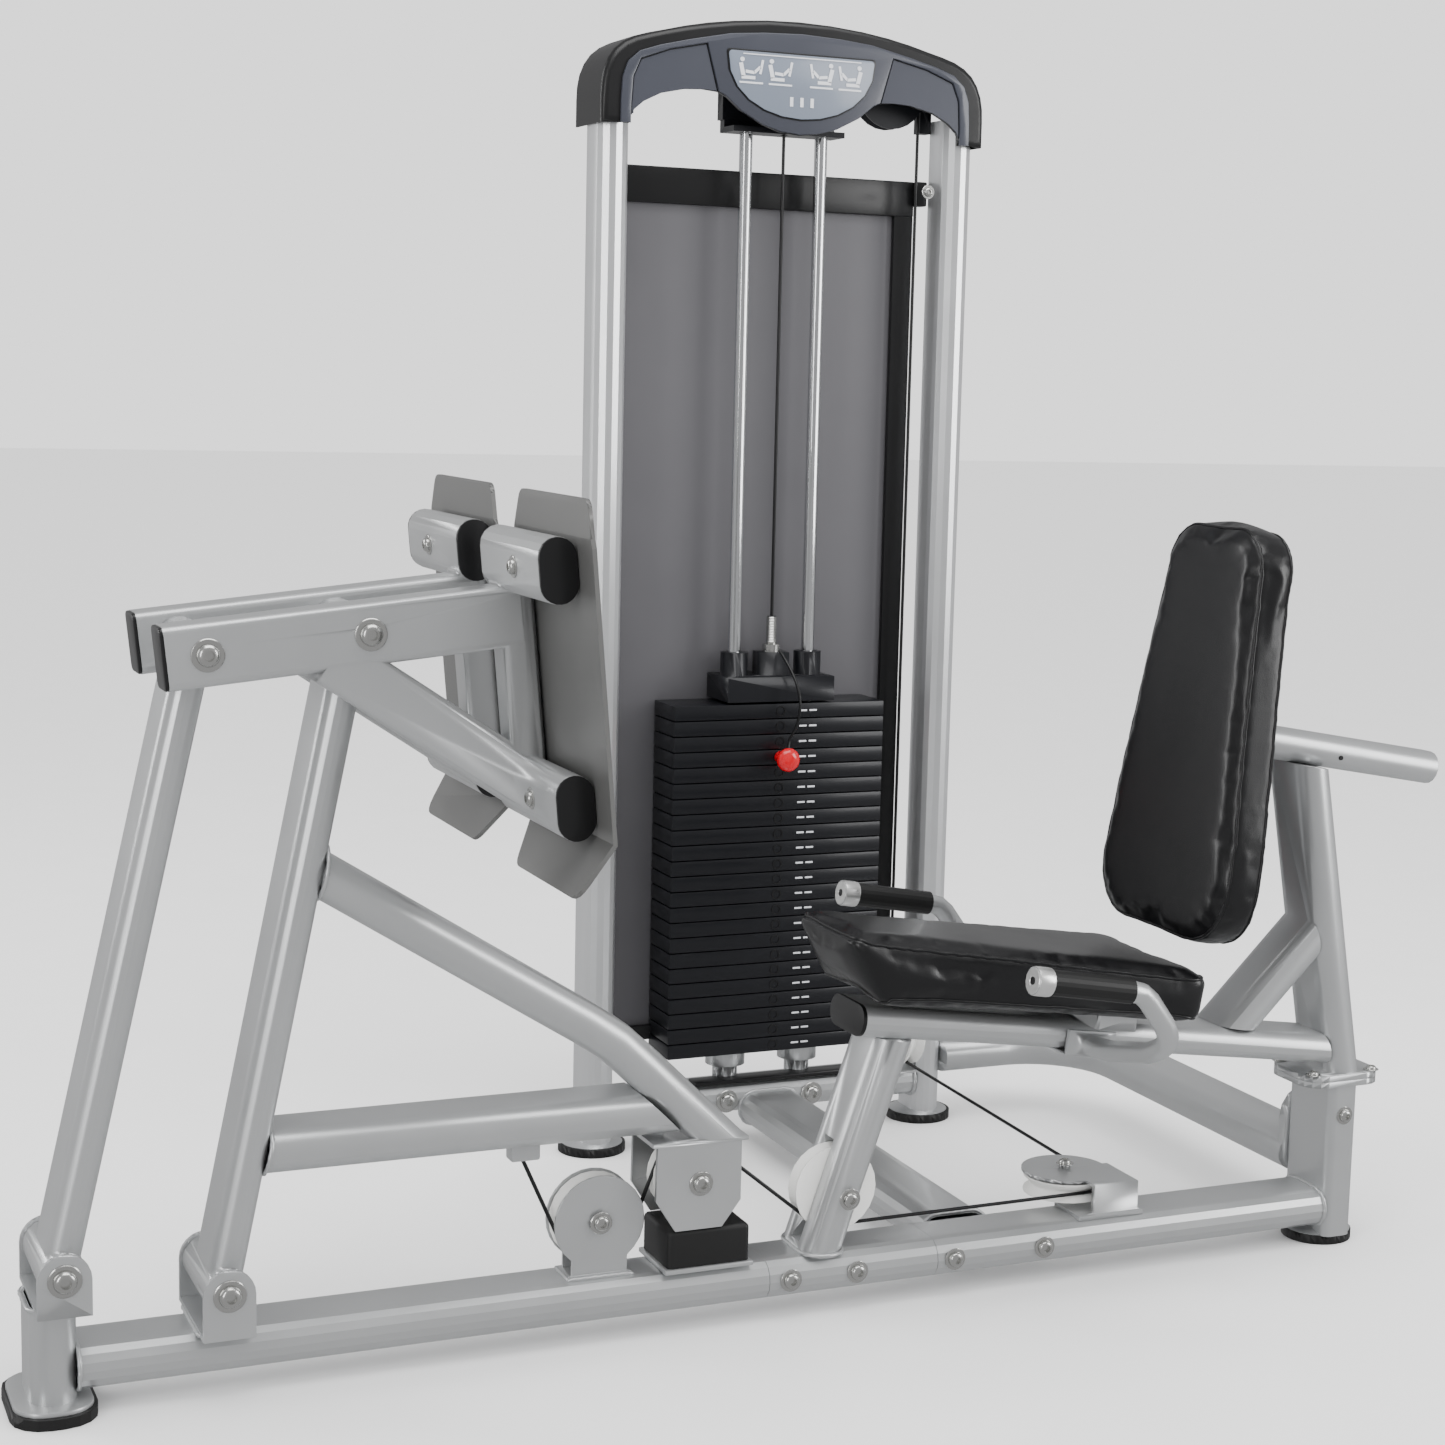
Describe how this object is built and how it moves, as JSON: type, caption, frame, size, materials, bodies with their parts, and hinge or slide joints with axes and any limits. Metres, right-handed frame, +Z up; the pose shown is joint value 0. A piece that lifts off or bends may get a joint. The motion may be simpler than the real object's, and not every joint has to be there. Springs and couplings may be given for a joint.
{
  "type": "leg_press_machine",
  "caption": "Seated leg press with a weight-stack tower: twin foot plates on a swinging parallel linkage face a padded seat and backrest; a cable lifts the stack.",
  "frame": {"origin": "centre of the front foot's sole, on the floor", "axes": "+X along the main rail from the front foot to the seat's rear post, +Y from the rail to the weight tower, +Z up; the user sits at high X facing -X"},
  "size_m": [1.8704, 1.05, 1.647],
  "materials": {
    "silver_paint": "metallic mid-silver powder coat, semi-gloss",
    "bright_silver_paint": "light metallic silver powder coat",
    "plate_grey_paint": "grey textured powder coat, satin",
    "chrome": "polished plating",
    "black_steel": "black satin paint",
    "black_rubber": "moulded black rubber",
    "white_nylon": "white moulded nylon",
    "shroud_plastic": "dark blue-grey moulded cover with a black rim",
    "panel_plastic": "grey sheet, satin",
    "black_vinyl": "black upholstery vinyl, satin, with a piped seam",
    "red_plastic": "red moulded knob",
    "cable_coating": "black coated steel cable"
  },
  "bodies": {
    "frame": {"rail_front": "silver_paint", "rail_middle": "silver_paint", "rail_rear": "silver_paint", "front_post": "silver_paint", "rear_post": "silver_paint", "rail_clevis": "silver_paint", "rail_pulley_bracket": "silver_paint", "base_pulley_bracket": "silver_paint", "seat_post": "silver_paint", "cross_tube": "silver_paint", "tower_base": "silver_paint", "side_tube": "silver_paint", "seat_rail": "silver_paint", "back_post": "silver_paint", "backrest_sleeve": "silver_paint", "handle_bar": "silver_paint", "upright_left": "bright_silver_paint", "upright_right": "bright_silver_paint", "front_pivot_bolt": "chrome", "rail_pivot_bolt": "chrome", "guide_rod_left": "chrome", "guide_rod_right": "chrome", "weight_plates_resting": "black_steel", "top_beam": "black_steel", "front_foot": "black_rubber", "rear_foot": "black_rubber", "tower_foot_left": "black_rubber", "tower_foot_right": "black_rubber", "swing_bumper": "black_rubber", "grip_near": "black_rubber", "grip_far": "black_rubber", "shroud": "shroud_plastic", "rear_panel": "panel_plastic", "seat_pad": "black_vinyl", "cable_frame": "cable_coating"},
    "press_swing": {"rear_link": "silver_paint", "swing_diagonal": "silver_paint", "swing_lower_tube": "silver_paint", "cable_swing": "cable_coating"},
    "front_link": {"front_link": "silver_paint"},
    "carriage": {"carriage_side_near": "silver_paint", "carriage_side_far": "silver_paint", "foot_plate_near": "plate_grey_paint", "foot_plate_far": "plate_grey_paint", "front_arm_bolt": "chrome", "rear_arm_bolt": "chrome"},
    "stack": {"head_plate": "black_steel", "weight_plates_lifted": "black_steel", "cable_stack": "cable_coating"},
    "selector_pin": {"selector_pin": "red_plastic"},
    "backrest": {"backrest_slider": "chrome", "backrest_pad": "black_vinyl"},
    "rail_pulley": {"rail_pulley": "white_nylon"},
    "swing_pulley": {"swing_pulley": "white_nylon"},
    "post_pulley": {"post_pulley": "white_nylon"},
    "turn_pulley": {"turn_pulley": "white_nylon"},
    "base_pulley": {"base_pulley": "white_nylon"},
    "top_pulley_right": {"top_pulley_right": "black_steel"},
    "top_pulley_middle": {"top_pulley_middle": "black_steel"}
  },
  "joints": [
    {"name": "press_swing", "type": "hinge", "parent": "frame", "child": "press_swing", "pos_m": [0.184, 0, 0.126], "axis": [0, -1, 0], "range_deg": [0, 24], "deforming": ["cable_swing"]},
    {"name": "front_link_swing", "type": "hinge", "parent": "frame", "child": "front_link", "pos_m": [0.008, 0, 0.165], "axis": [0, -1, 0], "range_deg": [-0.5, 26.6]},
    {"name": "carriage_level", "type": "hinge", "parent": "press_swing", "child": "carriage", "pos_m": [0.331, 0, 0.8595], "axis": [0, 1, 0], "range_deg": [-0.5, 25]},
    {"name": "stack_lift", "type": "slide", "parent": "frame", "child": "stack", "axis": [0, 0, 1], "range_m": [0, 0.602], "deforming": ["cable_stack"]},
    {"name": "selector_pin_pull", "type": "slide", "parent": "stack", "child": "selector_pin", "axis": [0, -1, 0], "range_m": [0, 0.12]},
    {"name": "backrest_adjust", "type": "slide", "parent": "frame", "child": "backrest", "axis": [-0.9861, 0, 0.1664], "range_m": [0, 0.11]},
    {"name": "rail_pulley_spin", "type": "hinge", "parent": "frame", "child": "rail_pulley", "pos_m": [0.634, 0, 0.142], "axis": [0, 1, 0], "range_deg": [-2, 180]},
    {"name": "swing_pulley_spin", "type": "hinge", "parent": "press_swing", "child": "swing_pulley", "pos_m": [0.752, 0, 0.185], "axis": [0, -1, 0], "range_deg": [-2, 475]},
    {"name": "post_pulley_spin", "type": "hinge", "parent": "frame", "child": "post_pulley", "pos_m": [0.9465, 0, 0.147], "axis": [0, 1, 0], "range_deg": [-2, 695]},
    {"name": "turn_pulley_spin", "type": "hinge", "parent": "frame", "child": "turn_pulley", "pos_m": [1.31, 0.05, 0.0985], "axis": [0, 0, -1], "range_deg": [-2, 695]},
    {"name": "base_pulley_spin", "type": "hinge", "parent": "frame", "child": "base_pulley", "pos_m": [1.363, 0.6445, 0.157], "axis": [-1, 0, 0], "range_deg": [-2, 695]},
    {"name": "top_pulley_right_spin", "type": "hinge", "parent": "frame", "child": "top_pulley_right", "pos_m": [1.313, 0.6945, 1.565], "axis": [0, 1, 0], "range_deg": [-2, 695]},
    {"name": "top_pulley_middle_spin", "type": "hinge", "parent": "frame", "child": "top_pulley_middle", "pos_m": [1.1967, 0.6945, 1.565], "axis": [0, 1, 0], "range_deg": [-2, 695]}
  ],
  "couplings": [
    {"joint": "front_link_swing", "follows": "press_swing", "ratio": 1.0832},
    {"joint": "carriage_level", "follows": "press_swing", "ratio": 1.017},
    {"joint": "stack_lift", "follows": "press_swing", "m_per_rad": 1.4347},
    {"joint": "rail_pulley_spin", "follows": "press_swing", "ratio": 7.34},
    {"joint": "swing_pulley_spin", "follows": "press_swing", "ratio": 19.57},
    {"joint": "post_pulley_spin", "follows": "press_swing", "ratio": 28.69},
    {"joint": "turn_pulley_spin", "follows": "press_swing", "ratio": 28.69},
    {"joint": "base_pulley_spin", "follows": "press_swing", "ratio": 28.69},
    {"joint": "top_pulley_right_spin", "follows": "press_swing", "ratio": 28.69},
    {"joint": "top_pulley_middle_spin", "follows": "press_swing", "ratio": 28.69}
  ]
}
